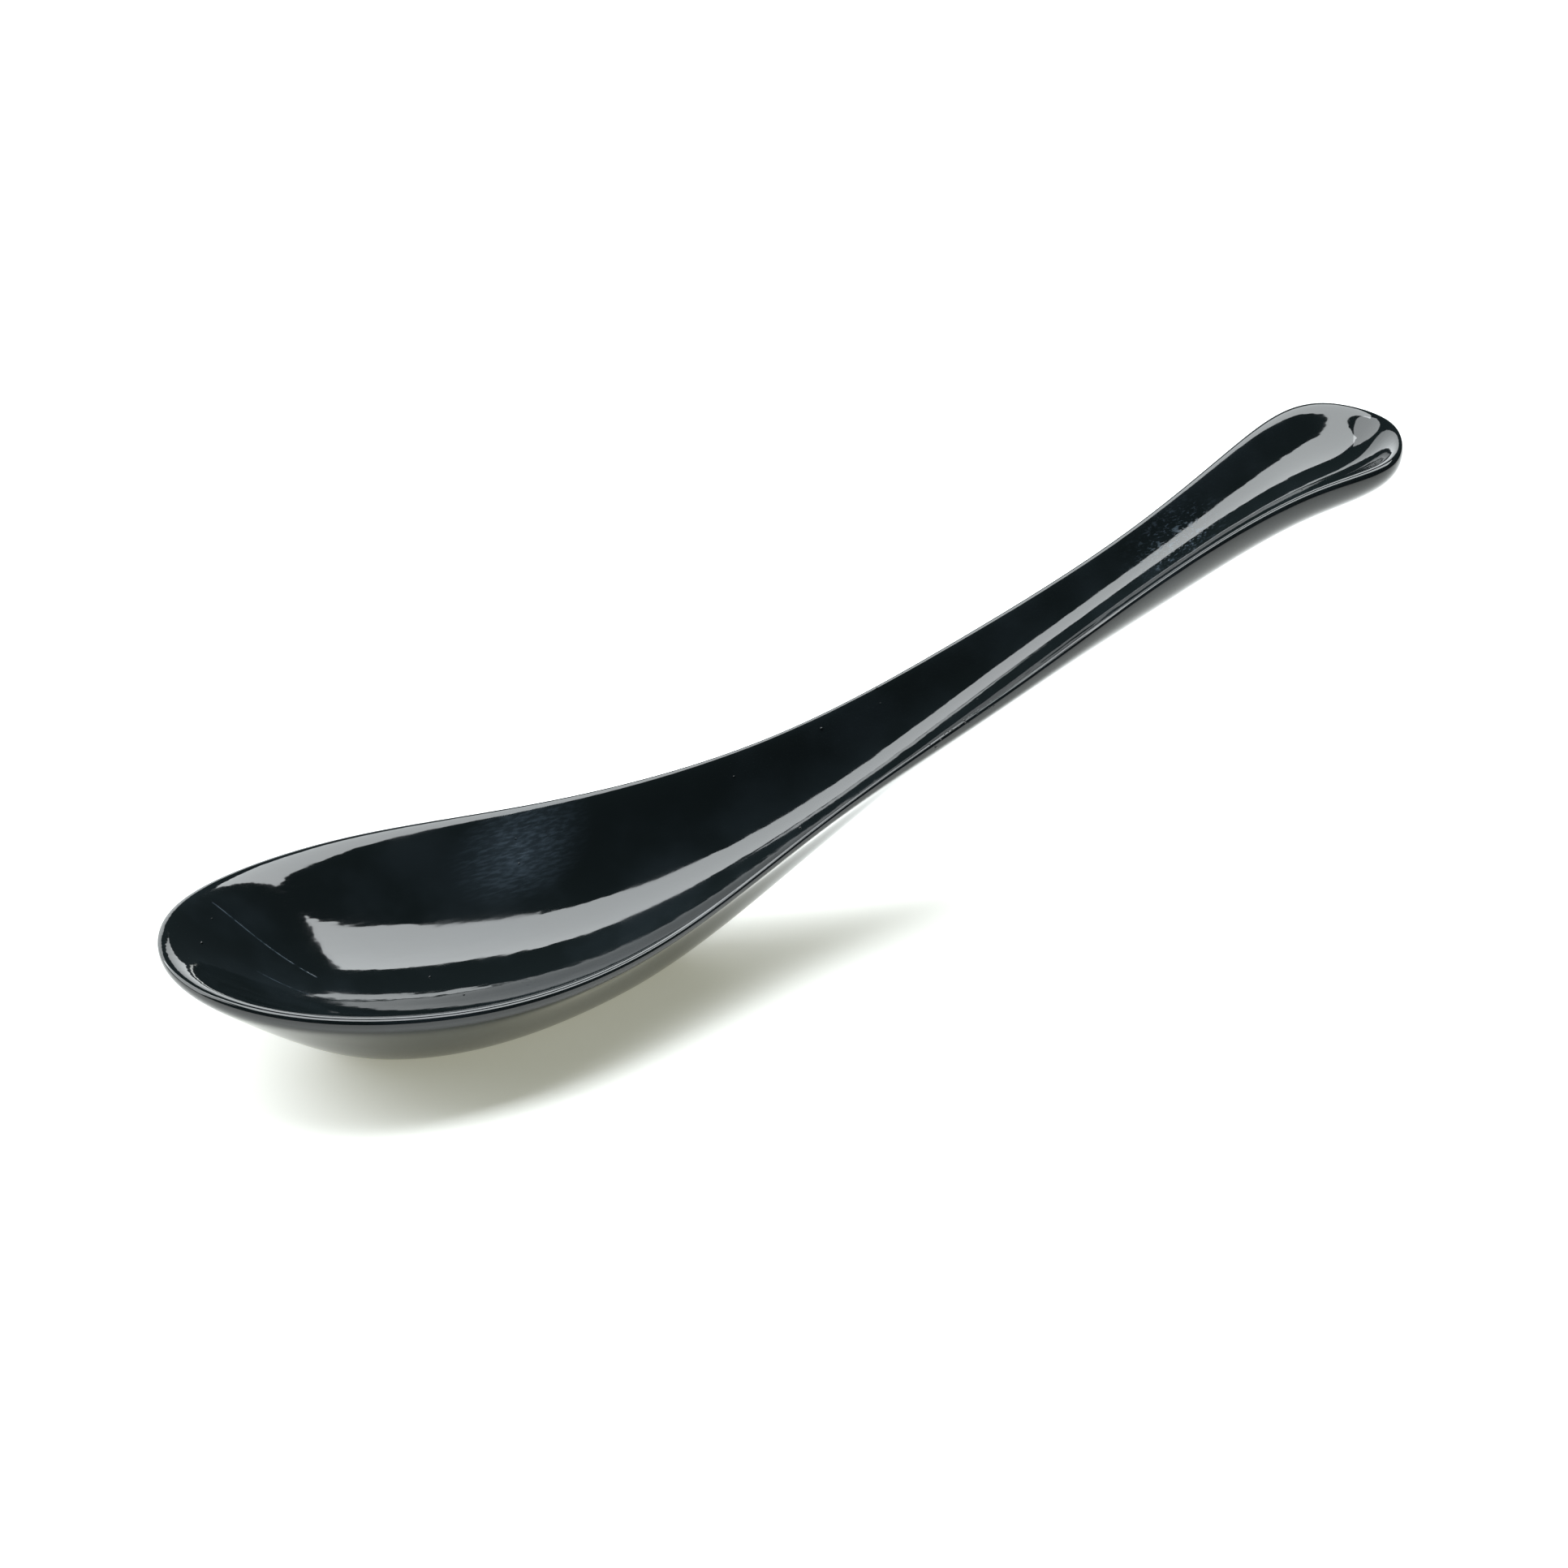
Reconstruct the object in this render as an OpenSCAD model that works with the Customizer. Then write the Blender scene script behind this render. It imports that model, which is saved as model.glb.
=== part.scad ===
// Deep-bowled table spoon: a carved wooden core sealed inside a gloss black lacquer coat.
// The spoon stands on the flat foot under its bowl at z = 0, with the origin at the middle
// of that foot, its handle towards +X and its width along Y. One closed surface, worked out
// by spoon_point(), gives the outside of the coat, and the same surface moved inwards gives
// the core.
//
// Every curve along the spoon is a smooth spline through eleven stations, from the tip of
// the bowl to the end of the handle. The stations crowd towards both ends, where the
// outline turns fastest: four belong to the bowl, three to the neck, four to the handle.

/* [Overall] */
// Length from the tip of the bowl to the end of the handle
spoon_length = 172; // [150:1:190]
// Distance from the tip of the bowl to the middle of its flat foot
foot_middle = 44.5; // [42:0.5:47]
// Distance over which the bowl gains its depth behind the tip
tip_fade = 12; // [8:0.5:16]
// Distance over which the thumb rest gains its depth before the handle's end
end_fade = 4.5; // [3:0.5:7]
// How flat the floor of the hollow is across its middle
flat_floor = 2.6; // [2:0.1:3.4]
// How gently the hollow's wall turns over into the lip
lip_ease = 1.6; // [1:0.1:2]

/* [Outline in plan] */
// Half width of the bowl, before its tip is rounded off
bowl_half_width = [38.9, 37.2, 32.8, 28.7]; // [26:0.2:42]
// Half width of the neck
neck_half_width = [19.3, 8.6, 7.8]; // [6:0.2:22]
// Half width of the handle and thumb rest, before the end is rounded off
handle_half_width = [6.5, 13.3, 33, 22.5]; // [5:0.2:35]

/* [Height of the rim] */
// Height of the bowl's rim above the table
bowl_rim = [17.1, 17, 15.3, 13.7]; // [13:0.1:19]
// Height of the neck's edges
neck_rim = [13.5, 20.4, 29.9]; // [12:0.1:34]
// Height of the handle's edges and thumb rest
handle_rim = [40.5, 49.6, 50.4, 50.6]; // [38:0.1:56]

/* [Hollow above] */
// Depth of the bowl below its rim
bowl_hollow = [8.6, 10, 11.2, 12.4]; // [8:0.1:14]
// Depth of the trough that leaves the bowl up the neck
neck_hollow = [12.3, 8.8, 5.3]; // [4:0.1:13]
// Depth of the trough and of the dished thumb rest
handle_hollow = [4.4, 5.6, 6.8, 5.2]; // [3.6:0.1:7.2]

/* [Belly below] */
// Depth of the bowl's belly below its rim, before the foot is cut flat
bowl_belly = [17.8, 13, 17.4, 18.6]; // [12:0.5:20]
// Depth of the neck's underside below its edges
neck_belly = [18.2, 10.2, 2.6]; // [2:0.1:19]
// Depth of the handle's underside below its edges
handle_belly = [5, 3.5, 4.6, 3.3]; // [3:0.1:7]

/* [Keel] */
// How much the bowl's belly is drawn in to a keel; below 0 it is fuller than round
bowl_keel = [0.4, 0.35, 0.5, 0.35]; // [-0.5:0.05:0.9]
// How much the neck's underside is drawn in to a keel
neck_keel = [0.9, 0.75, 0.15]; // [-0.5:0.05:0.9]
// How much the handle's underside is drawn in to a keel
handle_keel = [-0.35, -0.45, -0.4, -0.3]; // [-0.5:0.05:0.9]

/* [Edges and coat] */
// Thickness of the bowl's rounded lip
bowl_edge = [2.4, 3.1, 3, 3]; // [2:0.1:3.4]
// Thickness of the neck's rounded edges
neck_edge = [1.6, 1.6, 3.1]; // [1.4:0.1:3.6]
// Thickness of the handle's rounded edges
handle_edge = [5.2, 5.2, 4.4, 4.8]; // [4:0.1:5.6]
// Thickness of the black lacquer coat
coat_thickness = 0.2; // [0.1:0.05:0.2]

/* [Hidden] */
half_width = concat(bowl_half_width, neck_half_width, handle_half_width);
rim_height = concat(bowl_rim, neck_rim, handle_rim);
hollow = concat(bowl_hollow, neck_hollow, handle_hollow);
belly = concat(bowl_belly, neck_belly, handle_belly);
keel = concat(bowl_keel, neck_keel, handle_keel);
edge = concat(bowl_edge, neck_edge, handle_edge);
last_station = len(half_width) - 1;

// Rings of the faceted surface along the spoon, and points around each ring
rings = 56;
ring_points = 44;
// Degrees by which a ring's points gather at the two lips
lip_gather = 12;
// Step along and around the surface, from which its normals are worked out
slope_step = 0.002;

// ---- curves along the spoon; u runs from 0 at the tip to 1 at the handle's end ----

// Cubic B-spline kernel, two stations wide on each side
function kernel(s) =
    let (a = abs(s)) (pow(max(2 - a, 0), 3) - 4 * pow(max(1 - a, 0), 3)) / 6;

// The stations repeat in mirror image past both ends, so every curve ends level
function mirrored(i) = i < 0 ? -i : i > last_station ? 2 * last_station - i : i;

function along(values, u) =
    let (s = u * last_station, first = floor(s) - 1)
    [for (i = [first : first + 3]) values[mirrored(i)] * kernel(s - i)] * [1, 1, 1, 1];

function from_tip(u) = spoon_length * (1 - cos(180 * u)) / 2;

// Share of the full depth that is reached: 0 at both ends, 1 between them
function fullness(u) =
    (1 - exp(-from_tip(u) / tip_fade))
    * (1 - exp((from_tip(u) - spoon_length) / end_fade));

// ---- the surface ----

// Point of the outside at u along the spoon and at angle a around it. The angle is 0 on
// the left lip, 90 on the middle line of the hollow, 180 on the right lip and 270 on the
// middle line of the belly. side turns from -1 below to +1 above across the rounded lip.
function spoon_point(u, a) =
    let (
        width = along(half_width, u) * sin(180 * u),
        full = fullness(u),
        q = sqrt(full) * sin(a),
        lip_radius = along(edge, u) / 2,
        side = q / sqrt(q * q + lip_radius * sqrt(full) / width),
        near_lip = max(1 - q * q, 0),
        above = along(hollow, u) * pow(1 - pow(near_lip, flat_floor / 2), lip_ease),
        below = along(belly, u) * (1 - near_lip) * (1 - along(keel, u) * near_lip),
        depth = (above + below) / 2 + side * (above - below) / 2
    )
    [
        from_tip(u) - foot_middle,
        width * cos(a),
        along(rim_height, u) + side * lip_radius - depth
    ];

function unit(v) = v / norm(v);

// Outward normal of the surface there
function spoon_normal(u, a) =
    unit(cross(
        spoon_point(u, a + 360 * slope_step) - spoon_point(u, a - 360 * slope_step),
        spoon_point(u + slope_step, a) - spoon_point(u - slope_step, a)
    ));

function ring_angle(j) =
    let (even = 360 * j / ring_points) even - lip_gather * sin(2 * even);

function ring(i, inset) = [
    for (j = [0 : ring_points - 1])
        spoon_point(i / rings, ring_angle(j))
            - inset * spoon_normal(i / rings, ring_angle(j))
];

// Closed skin from the two end points and the rings between them, inset from the outside
module skin(inset) {
    tip = [inset - foot_middle, 0, along(rim_height, 0)];
    handle_end = [spoon_length - foot_middle - inset, 0, along(rim_height, 1)];
    points = concat(
        [tip],
        [for (i = [1 : rings - 1]) each ring(i, inset)],
        [handle_end]
    );
    end_index = len(points) - 1;
    function at(i, j) = 1 + (i - 1) * ring_points + j % ring_points;
    faces = concat(
        [for (j = [0 : ring_points - 1]) [0, at(1, j), at(1, j + 1)]],
        [for (i = [1 : rings - 2], j = [0 : ring_points - 1])
            each [
                [at(i, j), at(i + 1, j), at(i + 1, j + 1)],
                [at(i, j), at(i + 1, j + 1), at(i, j + 1)]
            ]],
        [for (j = [0 : ring_points - 1])
            [end_index, at(rings - 1, j + 1), at(rings - 1, j)]]
    );
    polyhedron(points, faces, convexity = 6);
}

// The spoon inset by a distance, with its foot cut flat that far above the table
module spoon_form(inset = 0) {
    below_table = 20;
    difference() {
        skin(inset);
        translate([-spoon_length, -spoon_length, inset - below_table])
            cube([3 * spoon_length, 2 * spoon_length, below_table]);
    }
}

// ---- sub-parts ----

// Carved wood, sealed all round by the coat
module wooden_core()
    color("tan")
        spoon_form(coat_thickness);

// The painted coat, a thin closed layer over the whole core
module black_coat()
    color([0.02, 0.025, 0.028])
        difference() {
            spoon_form();
            spoon_form(coat_thickness);
        }

wooden_core();
black_coat();
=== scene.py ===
"""Gloss black soup spoon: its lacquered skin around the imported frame, the table and the light."""
from math import cos, pi, radians, sin

import bpy
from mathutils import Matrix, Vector


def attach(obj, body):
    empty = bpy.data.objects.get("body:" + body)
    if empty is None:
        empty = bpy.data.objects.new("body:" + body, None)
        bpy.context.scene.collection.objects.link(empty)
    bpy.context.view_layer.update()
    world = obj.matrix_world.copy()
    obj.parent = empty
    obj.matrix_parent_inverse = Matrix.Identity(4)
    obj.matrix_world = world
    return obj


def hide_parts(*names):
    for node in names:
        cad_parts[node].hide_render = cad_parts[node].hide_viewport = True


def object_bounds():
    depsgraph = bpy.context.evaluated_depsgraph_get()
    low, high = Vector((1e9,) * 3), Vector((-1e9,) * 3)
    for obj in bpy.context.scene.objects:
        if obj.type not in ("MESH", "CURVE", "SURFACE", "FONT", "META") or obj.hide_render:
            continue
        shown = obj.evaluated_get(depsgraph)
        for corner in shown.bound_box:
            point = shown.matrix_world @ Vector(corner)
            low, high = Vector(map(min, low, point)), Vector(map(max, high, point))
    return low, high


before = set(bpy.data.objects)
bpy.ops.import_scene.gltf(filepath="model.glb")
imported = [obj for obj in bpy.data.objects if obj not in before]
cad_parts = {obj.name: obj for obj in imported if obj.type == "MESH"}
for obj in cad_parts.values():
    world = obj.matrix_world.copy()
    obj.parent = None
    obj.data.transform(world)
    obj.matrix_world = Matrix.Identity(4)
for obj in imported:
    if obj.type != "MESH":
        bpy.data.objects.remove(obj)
cad_low, cad_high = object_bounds()

MM = 0.001

# ---- the spoon's sizes, in mm ----
# Each list runs through the stations, from the tip of the bowl to the end of the handle.
STATIONS = {
    "Half width": [38.9, 37.2, 32.8, 28.7, 19.3, 8.6, 7.8, 6.5, 13.3, 33, 22.5],
    "Rim height": [17.1, 17, 15.3, 13.7, 13.5, 20.4, 29.9, 40.5, 49.6, 50.4, 50.6],
    "Hollow": [8.6, 10, 11.2, 12.4, 12.3, 8.8, 5.3, 4.4, 5.6, 6.8, 5.2],
    "Belly": [17.8, 13, 17.4, 18.6, 18.2, 10.2, 2.6, 5, 3.5, 4.6, 3.3],
    "Lip": [2.4, 3.1, 3, 3, 1.6, 1.6, 3.1, 5.2, 5.2, 4.4, 4.8],
    "Keel": [0.4, 0.35, 0.5, 0.35, 0.9, 0.75, 0.15, -0.35, -0.45, -0.4, -0.3],
}
LAST_STATION = len(STATIONS["Half width"]) - 1
SIZES = {
    "Length": (cad_high.x - cad_low.x) / MM,
    "Foot middle": -cad_low.x / MM,
    "Tip fade": 12,
    "End fade": 4.5,
    "Flat floor": 2.6,
    "Lip ease": 1.6,
    "Foot softness": 1.2,
    "Lip gather": 12,  # degrees
    "Ripples from": 45,
    "Ripples full": 75,
    "Ripples fade": 120,
    "Ripples to": 140,
    "Ripples to the length": 5,
    "Ripples to a radian": 7,
    "Ripple height": 0.28,
}
RINGS = 330
RING_POINTS = 232
MERGE_REACH = 1e-7
# Around the spoon, the ripples come in as minus the cosine of the angle passes between the
# first two (towards the near side) and its sine between the second two (towards the top).
RIPPLED_NEAR = (-0.3, 0.5)
RIPPLED_ABOVE = (0, 0.35)
RIPPLE_DETAIL = 1.5

# ---- the view ----
VIEW_TURN = radians(27)
VIEW_DROP = radians(31)
VIEW_DISTANCE = 0.7
VIEW_AIM = Vector((0.0391, 0, 0.0206))
LENS = 127.3
SENSOR = 36

# ---- the lacquer ----
BLACK = (0.0028, 0.0044, 0.0046, 1)
DULLED = (0.03, 0.042, 0.054, 1)
LACQUER_IOR = 1.5
CLEAN_ROUGHNESS = 0.045
HAZE_ROUGHNESS = 0.04
DULL_ROUGHNESS = 0.2
MOST_ROUGHNESS = 0.4
# How much of the haze counts as dull, and of the rubbed patch between its lines
HAZE_SHARE = 0.1
RUBBED_SHARE = 0.35
# How far up a face looks, from the first to the second, as the marks come in
UPPER_SIDE = (0, 0.3)

# Noises in the lacquer: waves to a mm, detail, stretch by axis and turn about Z in degrees
PEEL = {"scale": 0.34}
LONG_RIPPLE = {"scale": 0.5, "stretch": (0.22, 1, 1)}
HAZE = {"scale": 0.09, "detail": 3}
RUBBED_LINES = {"scale": 1.0, "detail": 3, "stretch": (0.5, 3.2, 3.2), "turn": -62}
SCUFF_LINES = {"scale": 1.6, "stretch": (0.3, 3.5, 3.5), "turn": 24}
SCUFF_GRAINS = {"scale": 1.1, "detail": 4}
SCRATCH_BREAKS = {"scale": 0.8}

# Heights in the lacquer, in mm
PEEL_HEIGHT = 0.012
RIPPLE_HEIGHT = 0.026
SCRATCH_HEIGHT = -0.01
SCUFF_HEIGHT = 0.003
RUBBED_HEIGHT = 0.0015

# Places of the marks in plan from the middle of the foot, in mm
RUBBED_AT, RUBBED_REACH = (9, 15), (11, 5.5)
SCUFFS_AT, SCUFFS_REACH = (97, 2), (9, 5)
HAIRLINES = [  # start, end and width
    ((-33.1, 13.8), (-23.4, 4.8), 0.16),
    ((-31.5, 4.6), (-26, 1.1), 0.12),
    ((104, -3.5), (111, -4.6), 0.12),
]

# ---- nibs of dust under the lacquer, in mm ----
NIBS = {
    "Nib spacing": 17.0,
    "Grit from": 56.0,
    "Grit to": 66.0,
    "Grit edge": -6.2,
    "Grit spacing": 0.85,
    "Smallest nib": 0.07,
    "Largest nib": 0.2,
}
NIB_SEED = 12
NIB_ROUNDNESS = 2
GRIT_FADE = 1
GRIT_EDGE_FADE = 0.8
# How far up a face looks, from the first to the second, as the nibs and the grit come in
NIBS_FACE = (0.3, 0.6)
GRIT_FACES = (-0.2, 0.2)

# ---- the table and the light, in metres ----
TABLE_HALF = 3.0
TABLE_COLOUR = (0.86, 0.86, 0.86, 1)
TABLE_ROUGHNESS = 0.9
# The table's warm glow is painted fill light: it keeps the shadows on the table pale and olive.
TABLE_PAINTED_FILL_COLOUR = (1, 1, 0.78, 1)
TABLE_PAINTED_FILL = 0.3
COOL_WHITE = (0.94, 0.985, 1.0)
ROOM_COLOUR = (0.05, 0.065, 0.075)
# Boxes of light: turn, height and distance from the spoon, or the place; size; strength
KEY_SEEN, KEY_SIZE, KEY_STRENGTH = (146, 34, 1.0), (0.95, 0.95), 5.5
BACKDROP_SEEN, BACKDROP_SIZE, BACKDROP_STRENGTH = (90, 17, 1.6), (2.4, 0.75), 3.2
OVERHEAD_PLACE = Vector((0.26, 0.21, 0.9))
OVERHEAD_SIZE, OVERHEAD_STRENGTH = (1.17, 0.66), 8.5


class Wire:
    """A node socket with arithmetic on it. Sums and products on wires add Math nodes to the tree."""

    def __init__(self, tree, socket):
        self.tree, self.socket = tree, socket

    def node(self, kind, settings=None, out=0, **inputs):
        return add_node(self.tree, kind, settings, out, **inputs)

    def math(self, operation, *operands):
        node = self.tree.nodes.new("ShaderNodeMath")
        node.operation = operation
        for slot, operand in zip(node.inputs, operands):
            plug(self.tree, slot, operand)
        return Wire(self.tree, node.outputs[0])

    def __add__(self, other): return self.math("ADD", self, other)
    def __radd__(self, other): return self.math("ADD", other, self)
    def __sub__(self, other): return self.math("SUBTRACT", self, other)
    def __rsub__(self, other): return self.math("SUBTRACT", other, self)
    def __mul__(self, other): return self.math("MULTIPLY", self, other)
    def __rmul__(self, other): return self.math("MULTIPLY", other, self)
    def __truediv__(self, other): return self.math("DIVIDE", self, other)
    def __pow__(self, other): return self.math("POWER", self, other)
    def __neg__(self): return self.math("MULTIPLY", self, -1.0)
    def __abs__(self): return self.math("ABSOLUTE", self)
    def at_least(self, other): return self.math("MAXIMUM", self, other)
    def at_most(self, other): return self.math("MINIMUM", self, other)
    def sin(self): return self.math("SINE", self)
    def cos(self): return self.math("COSINE", self)
    def root(self): return self.math("SQRT", self)
    def exp(self): return self.math("EXPONENT", self)

    def ramp(self, low, high):
        """0 where the value is at low, 1 at high, smooth between them."""
        return self.node("ShaderNodeMapRange", {"interpolation_type": "SMOOTHSTEP"},
                         **{"Value": self, "From Min": low, "From Max": high})

    def window(self, low, full, fade, high):
        """0 up to low, 1 from full to fade, 0 again from high on, smooth between them."""
        return self.ramp(low, full) * (1 - self.ramp(fade, high))

    def split(self):
        """The x, y and z of a vector, each as a wire."""
        parts = self.node("ShaderNodeSeparateXYZ", Vector=self).socket.node.outputs
        return [Wire(self.tree, part) for part in parts]

    def in_mm(self):
        """A vector in metres turned into mm."""
        return self.node("ShaderNodeVectorMath", {"operation": "SCALE"}, Vector=self, Scale=1 / MM)


def plug(tree, slot, value):
    """Feed a socket from a wire, or set it to a plain value."""
    if isinstance(value, Wire):
        tree.links.new(value.socket, slot)
    else:
        slot.default_value = value


def add_node(tree, kind, settings=None, out=0, **inputs):
    """A node with its settings made first, then its sockets filled by name. Gives one output."""
    node = tree.nodes.new(kind)
    for name, value in (settings or {}).items():
        setattr(node, name, value)
    for name, value in inputs.items():
        free = [s for s in node.inputs if s.name == name and s.enabled and not s.is_linked]
        plug(tree, free[0], value)
    return Wire(tree, node.outputs[out])


def placed(name, data):
    """A new object of that name in the scene, showing that data."""
    thing = bpy.data.objects.new(name, data)
    bpy.context.collection.objects.link(thing)
    return thing


# ---- materials ----

def new_material(name):
    """An empty material and its node tree."""
    material = bpy.data.materials.new(name)
    material.use_nodes = True
    material.node_tree.nodes.clear()
    return material, material.node_tree


def finish_material(tree, **sockets):
    """End a material's tree in one shader with those sockets."""
    shader = add_node(tree, "ShaderNodeBsdfPrincipled", **sockets)
    output = tree.nodes.new("ShaderNodeOutputMaterial")
    tree.links.new(shader.socket, output.inputs["Surface"])


def noise(place, scale, detail=2.0, stretch=(1, 1, 1), turn=0):
    """Soft noise between 0 and 1."""
    at = place.node("ShaderNodeMapping", Vector=place, Rotation=(0, 0, radians(turn)), Scale=stretch)
    return place.node("ShaderNodeTexNoise", Vector=at, Scale=scale, Detail=detail)


def spot(x, y, middle, reach):
    """1 in the middle of an oval in plan, falling to 0 at its edge, in mm."""
    across, along = (x - middle[0]) / reach[0], (y - middle[1]) / reach[1]
    return 1 - (across * across + along * along).root().ramp(0, 1)


def scratch(x, y, start, end, width):
    """1 along a straight scratch in plan between two points, falling to 0 beside it, in mm."""
    run = Vector(end) - Vector(start)
    reached = ((x - start[0]) * run.x + (y - start[1]) * run.y) / run.length_squared
    share = reached.at_least(0).at_most(1)
    across, along = x - start[0] - share * run.x, y - start[1] - share * run.y
    return 1 - (across * across + along * along).root().ramp(0, width)


def black_lacquer():
    """Glossy black with faint orange peel and haze, and the marks that use has left in it."""
    material, tree = new_material("black lacquer")
    held = add_node(tree, "ShaderNodeTexCoord", out=3)
    place = held.in_mm()
    x, y, _ = place.split()
    facing = Wire(tree, held.socket.node.outputs["Normal"]).split()[2]
    upper = facing.ramp(*UPPER_SIDE)

    haze = noise(place, **HAZE).ramp(0.42, 0.75)
    lines = noise(place, **RUBBED_LINES).ramp(0.38, 0.72)
    scuff_lines = noise(place, **SCUFF_LINES).ramp(0.56, 0.7)
    scuff_grains = noise(place, **SCUFF_GRAINS).ramp(0.56, 0.68)
    breaks = noise(place, **SCRATCH_BREAKS).ramp(0.3, 0.6)
    rubbed_share = RUBBED_SHARE + (1 - RUBBED_SHARE) * lines
    rubbed = spot(x, y, RUBBED_AT, RUBBED_REACH) * rubbed_share * upper
    scuffs = spot(x, y, SCUFFS_AT, SCUFFS_REACH) * (scuff_lines + scuff_grains) * upper
    scratches = sum((scratch(x, y, *ends, width) for *ends, width in HAIRLINES), 0.0)
    hairlines = scratches * breaks * upper

    dull = (HAZE_SHARE * haze + rubbed + scuffs + hairlines).at_most(1)
    colour = add_node(tree, "ShaderNodeMix", {"data_type": "RGBA"}, out=2, **{
        "Factor": dull, "A": BLACK, "B": DULLED})
    roughness = CLEAN_ROUGHNESS + HAZE_ROUGHNESS * haze + DULL_ROUGHNESS * dull
    peel = noise(place, **PEEL) * PEEL_HEIGHT
    ripple = noise(place, **LONG_RIPPLE) * RIPPLE_HEIGHT * upper
    marks = hairlines * SCRATCH_HEIGHT + scuffs * SCUFF_HEIGHT + rubbed * lines * RUBBED_HEIGHT
    relief = add_node(tree, "ShaderNodeBump", **{
        "Strength": 1.0, "Distance": MM, "Height": peel + ripple + marks})
    finish_material(tree, **{
        "Base Color": colour, "Roughness": roughness.at_most(MOST_ROUGHNESS),
        "IOR": LACQUER_IOR, "Normal": relief})
    return material


def table_paper():
    """Matt white with a warm glow painted on as fill light, so that shadows on it stay pale."""
    material, tree = new_material("white table")
    finish_material(tree, **{
        "Base Color": TABLE_COLOUR, "Roughness": TABLE_ROUGHNESS,
        "Emission Color": TABLE_PAINTED_FILL_COLOUR, "Emission Strength": TABLE_PAINTED_FILL})
    return material


# ---- the spoon's skin ----

def new_tree(name, inputs, result):
    """A node tree with those inputs and one geometry out, and a look-up of its inputs by name."""
    tree = bpy.data.node_groups.new(name, "GeometryNodeTree")
    for label, kind in inputs.items():
        tree.interface.new_socket(label, in_out="INPUT", socket_type="NodeSocket" + kind)
    tree.interface.new_socket(result, in_out="OUTPUT", socket_type="NodeSocketGeometry")
    given = tree.nodes.new("NodeGroupInput")
    return tree, lambda label: Wire(tree, given.outputs[label])


def finish_tree(tree, geometry, finish, result):
    """End a node tree in that geometry with its finish on."""
    finished = geometry.node("GeometryNodeSetMaterial", Geometry=geometry, Material=finish)
    output = tree.nodes.new("NodeGroupOutput")
    tree.links.new(finished.socket, output.inputs[result])
    return tree


def spline_kernel(s):
    """Cubic B-spline kernel, two stations wide on each side."""
    a = abs(s)
    return ((2 - a).at_least(0) ** 3 - 4 * (1 - a).at_least(0) ** 3) / 6


def spline_shares(u, last):
    """How much each station counts at u. They repeat in mirror image past both ends."""
    s = u * last
    shares = [spline_kernel(s - i) for i in range(last + 1)]
    shares[1] = shares[1] + spline_kernel(s + 1)
    shares[last - 1] = shares[last - 1] + spline_kernel(s - (last + 1))
    return shares


def station_sizes():
    """Every station's value under its own name."""
    return {
        f"{name} {i}": value
        for name, values in STATIONS.items() for i, value in enumerate(values)
    }


def skin_tree():
    """Node tree that rolls a grid into the spoon's closed skin, with every size as a named input."""
    inputs = dict.fromkeys([*SIZES, *station_sizes()], "Float")
    inputs.update({"Rings": "Int", "Ring points": "Int", "Finish": "Material"})
    tree, size = new_tree("spoon skin", inputs, "Spoon")

    grid = add_node(tree, "GeometryNodeMeshGrid", **{
        "Size X": 1.0, "Size Y": 1.0, "Vertices X": size("Rings"), "Vertices Y": size("Ring points")})
    place = add_node(tree, "GeometryNodeInputPosition")
    grid_x, grid_y, _ = place.split()
    # u runs from 0 at the tip to 1 at the handle's end, and a goes once round the spoon.
    u = grid_x + 0.5
    even = (grid_y + 0.5) * radians(360)
    a = even - size("Lip gather") * radians(1) * (2 * even).sin()

    shares = spline_shares(u, LAST_STATION)

    def along(name):
        total = shares[0] * size(f"{name} 0")
        for i in range(1, LAST_STATION + 1):
            total = total + shares[i] * size(f"{name} {i}")
        return total

    from_tip = size("Length") * (1 - (u * radians(180)).cos()) / 2
    tip_full = 1 - (-from_tip / size("Tip fade")).exp()
    end_full = 1 - ((from_tip - size("Length")) / size("End fade")).exp()
    full = (tip_full * end_full).at_least(0)
    width = along("Half width") * (u * radians(180)).sin()
    q = full.root() * a.sin()
    lip_radius = along("Lip") / 2
    side = q / (q * q + lip_radius * full.root() / width).root()
    floor = (1 - q * q).at_least(0) ** (size("Flat floor") / 2)
    above = along("Hollow") * (1 - floor) ** size("Lip ease")
    below = along("Belly") * q * q * (1 - along("Keel") * (1 - q * q))
    depth = (above + below) / 2 + side * (above - below) / 2
    height = along("Rim height") + side * lip_radius - depth
    soft = size("Foot softness")
    standing = (height + (height * height + soft * soft).root()) / 2

    # Brushed ripples run along the near wall of the neck and fade out towards both ends.
    near_wall = (-a.cos()).ramp(*RIPPLED_NEAR) * a.sin().ramp(*RIPPLED_ABOVE)
    reach = from_tip.window(
        size("Ripples from"), size("Ripples full"), size("Ripples fade"), size("Ripples to"))
    flow = place.node("ShaderNodeCombineXYZ", X=u * size("Ripples to the length"),
                      Y=a * size("Ripples to a radian"), Z=0.0)
    waves = place.node("ShaderNodeTexNoise", Vector=flow, Scale=1.0, Detail=RIPPLE_DETAIL)
    rippled = standing + near_wall * reach * (waves - 0.5) * size("Ripple height")

    point = place.node("ShaderNodeCombineXYZ", X=(from_tip - size("Foot middle")) * MM,
                       Y=width * a.cos() * MM, Z=rippled * MM)
    rolled = place.node("GeometryNodeSetPosition", Geometry=grid, Position=point)
    outward = place.node("GeometryNodeFlipFaces", Mesh=rolled)
    closed = place.node("GeometryNodeMergeByDistance", Geometry=outward, Distance=MERGE_REACH)
    smooth = place.node("GeometryNodeSetShadeSmooth", Geometry=closed)
    whole = place.node("GeometryNodeRealizeInstances", Geometry=smooth)
    return finish_tree(tree, whole, size("Finish"), "Spoon")


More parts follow.
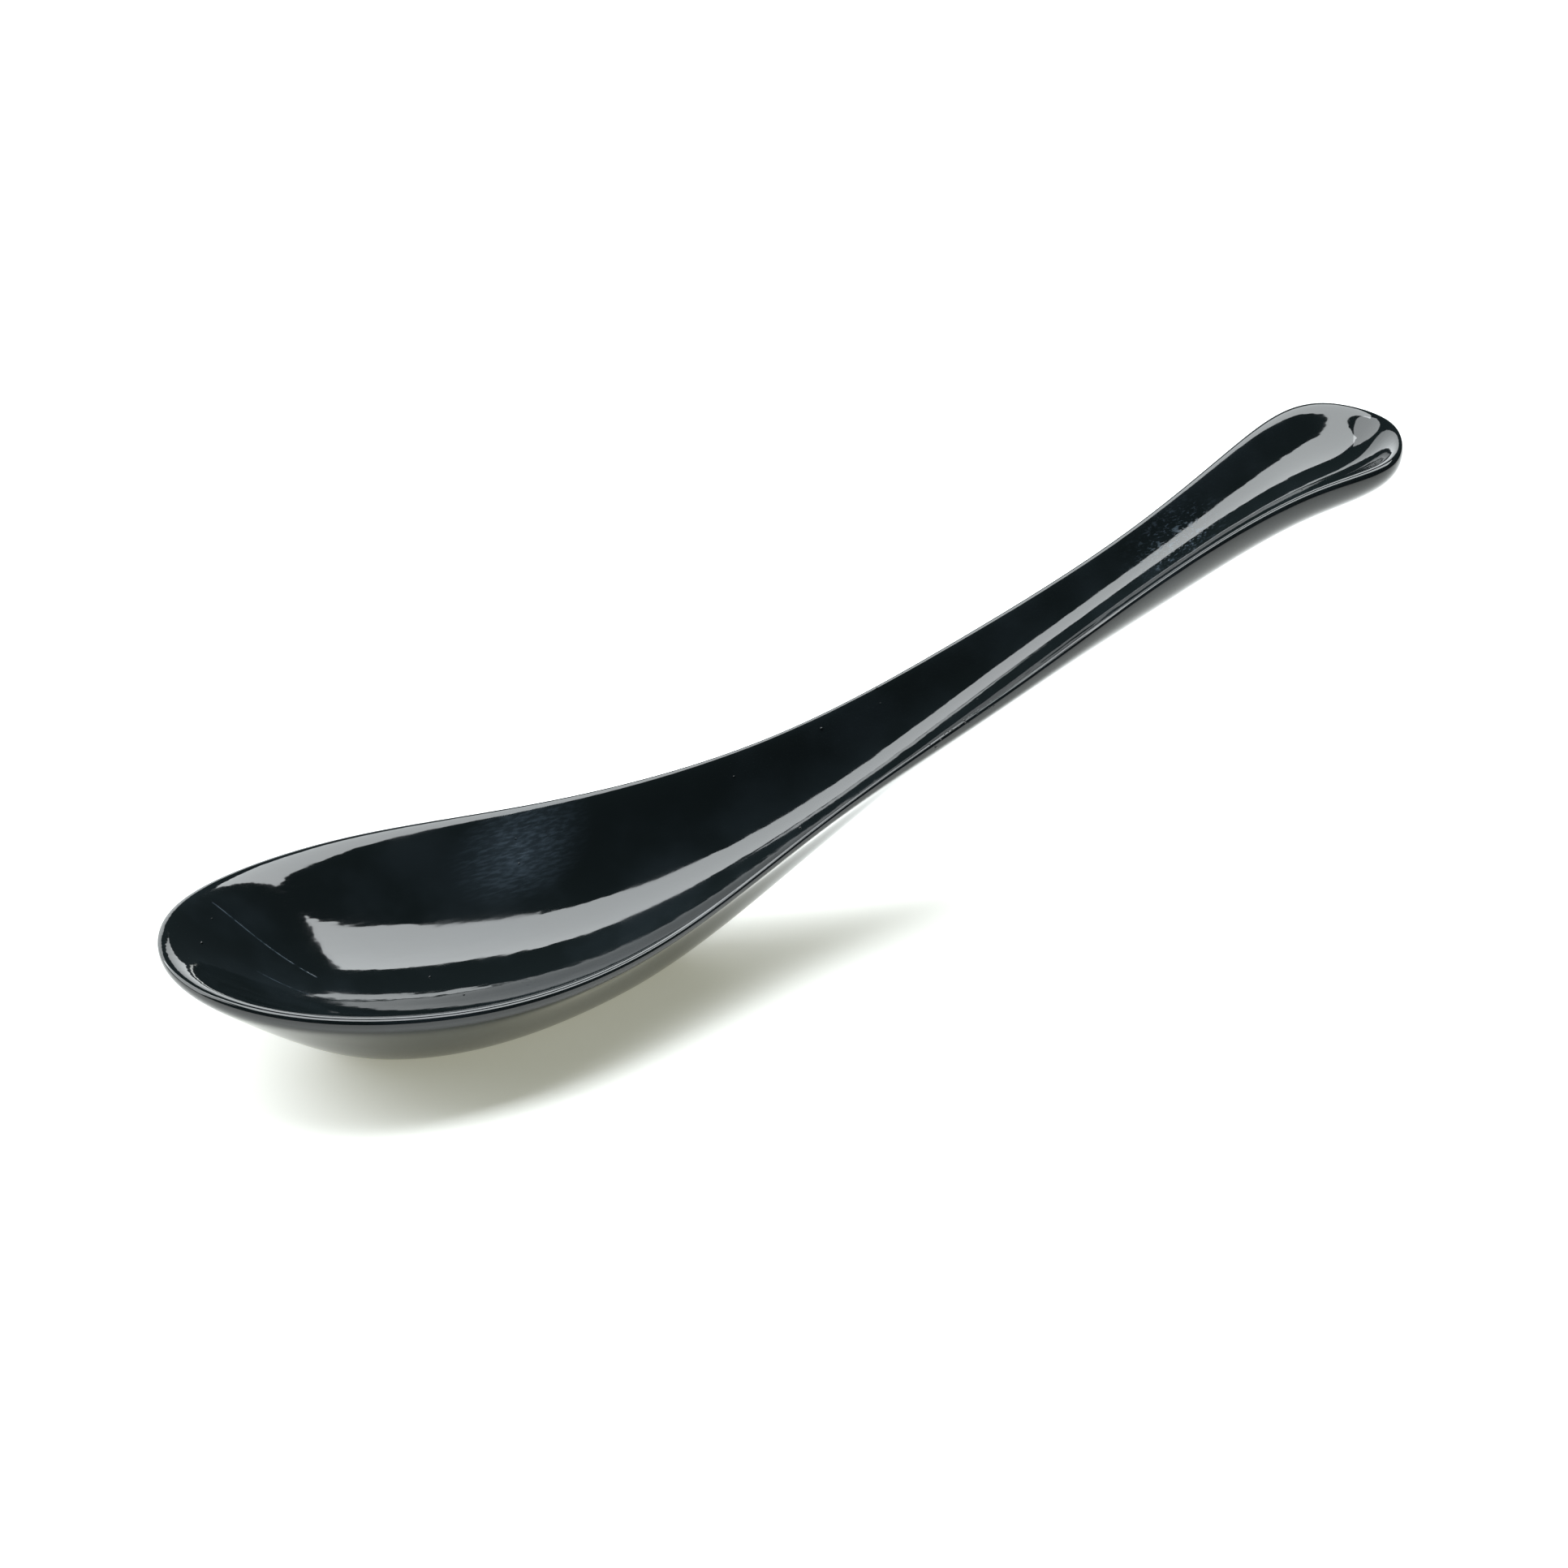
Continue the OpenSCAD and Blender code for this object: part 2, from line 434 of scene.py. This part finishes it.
def nib_tree():
    """Node tree that sets round nibs on a skin: a sprinkle over the top and grit on one edge."""
    inputs = {"Skin": "Geometry", **dict.fromkeys(NIBS, "Float"), "Seed": "Int", "Finish": "Material"}
    tree, size = new_tree("nibs", inputs, "Nibs")

    held = add_node(tree, "GeometryNodeInputPosition")
    x, y, _ = held.in_mm().split()
    up = add_node(tree, "GeometryNodeInputNormal").split()[2]
    start, end, edge = size("Grit from"), size("Grit to"), size("Grit edge")
    in_grit = x.window(start - GRIT_FADE, start + GRIT_FADE, end - GRIT_FADE, end + GRIT_FADE)
    in_grit = in_grit * (1 - y.ramp(edge - GRIT_EDGE_FADE, edge)) * up.ramp(*GRIT_FACES)
    few = up.ramp(*NIBS_FACE) / (size("Nib spacing") * size("Nib spacing"))
    many = in_grit / (size("Grit spacing") * size("Grit spacing"))
    points = held.node("GeometryNodeDistributePointsOnFaces", {"distribute_method": "RANDOM"}, **{
        "Mesh": size("Skin"), "Density": (few + many) / (MM * MM), "Seed": size("Seed")})
    radius = held.node("FunctionNodeRandomValue", {"data_type": "FLOAT"}, out=1, **{
        "Min": size("Smallest nib") * MM, "Max": size("Largest nib") * MM, "Seed": size("Seed")})
    nib = held.node("GeometryNodeMeshIcoSphere", Radius=1.0, Subdivisions=NIB_ROUNDNESS)
    nibs = held.node("GeometryNodeInstanceOnPoints", Points=points, Instance=nib, Scale=radius)
    whole = held.node("GeometryNodeRealizeInstances", Geometry=nibs)
    smooth = held.node("GeometryNodeSetShadeSmooth", Geometry=whole)
    return finish_tree(tree, smooth, size("Finish"), "Nibs")


def grown(name, tree, inputs, start=None):
    """The plain mesh that a node tree makes from those inputs, as an object at the origin."""
    seed = placed(name, start.copy() if start else bpy.data.meshes.new(name))
    modifier = seed.modifiers.new(name, "NODES")
    modifier.node_group = tree
    for item in tree.interface.items_tree:
        if item.in_out == "INPUT" and item.name in inputs:
            modifier[item.identifier] = inputs[item.name]
    ready = seed.evaluated_get(bpy.context.evaluated_depsgraph_get())
    mesh = bpy.data.meshes.new_from_object(ready)
    mesh.name = name
    seed.modifiers.remove(modifier)
    seed.data = mesh
    return seed


def spoon_skin(material):
    """The whole outside of the spoon, in one closed mesh."""
    inputs = {name: float(value) for name, value in {**SIZES, **station_sizes()}.items()}
    inputs.update({"Rings": RINGS, "Ring points": RING_POINTS, "Finish": material})
    return grown("lacquered_spoon", skin_tree(), inputs)


def nibs_on(spoon, material):
    """The nibs that stand out of the spoon's lacquer."""
    inputs = {**NIBS, "Seed": NIB_SEED, "Finish": material}
    return grown("lacquer_nibs", nib_tree(), inputs, spoon.data)


# ---- table, light and camera ----

def table(material):
    """The flat top that the spoon stands on."""
    corners = [(TABLE_HALF * x, TABLE_HALF * y, 0) for x, y in ((-1, -1), (1, -1), (1, 1), (-1, 1))]
    mesh = bpy.data.meshes.new("table")
    mesh.from_pydata(corners, [], [(0, 1, 2, 3)])
    mesh.materials.append(material)
    placed("table", mesh)


def soft_box(name, place, towards, size, strength):
    """A flat rectangular light at that place, facing that way.

    Its energy goes with its area, so that strength alone says how bright it looks.
    """
    width, depth = size
    light = bpy.data.lights.new(name, "AREA")
    light.shape = "RECTANGLE"
    light.size, light.size_y = width, depth
    light.energy = strength * pi * width * depth
    light.color = COOL_WHITE
    box = placed(name, light)
    box.location = place
    box.rotation_euler = (-Vector(towards)).to_track_quat("Z", "Y").to_euler()


def seen_at(turn, height, distance):
    """The place seen from the spoon at that turn from +X and that height, both in degrees."""
    level = distance * cos(radians(height))
    return VIEW_AIM + Vector((
        level * cos(radians(turn)), level * sin(radians(turn)), distance * sin(radians(height))))


def camera():
    """The eye, at its distance from the aim."""
    data = bpy.data.cameras.new("camera")
    data.lens, data.sensor_width = LENS, SENSOR
    eye = placed("camera", data)
    level = cos(VIEW_DROP)
    ahead = Vector((sin(VIEW_TURN) * level, cos(VIEW_TURN) * level, -sin(VIEW_DROP)))
    eye.location = VIEW_AIM - VIEW_DISTANCE * ahead
    eye.rotation_euler = ahead.to_track_quat("-Z", "Y").to_euler()
    bpy.context.scene.camera = eye


def room_glow(colour):
    """Faint light from all round."""
    world = bpy.data.worlds.new("room")
    world.use_nodes = True
    world.node_tree.nodes["Background"].inputs["Color"].default_value = (*colour, 1)
    bpy.context.scene.world = world


camera()
lacquer = black_lacquer()
spoon = spoon_skin(lacquer)
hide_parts("black_coat", "wooden_core")
for piece in (spoon, nibs_on(spoon, lacquer)):
    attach(piece, "root")
table(table_paper())
key_place = seen_at(*KEY_SEEN)
soft_box("key", key_place, VIEW_AIM - key_place, KEY_SIZE, KEY_STRENGTH)
soft_box("overhead", OVERHEAD_PLACE, (0, 0, -1), OVERHEAD_SIZE, OVERHEAD_STRENGTH)
backdrop_place = seen_at(*BACKDROP_SEEN)
soft_box("backdrop", backdrop_place, VIEW_AIM - backdrop_place, BACKDROP_SIZE, BACKDROP_STRENGTH)
room_glow(ROOM_COLOUR)
bpy.context.scene.view_settings.view_transform = "Standard"
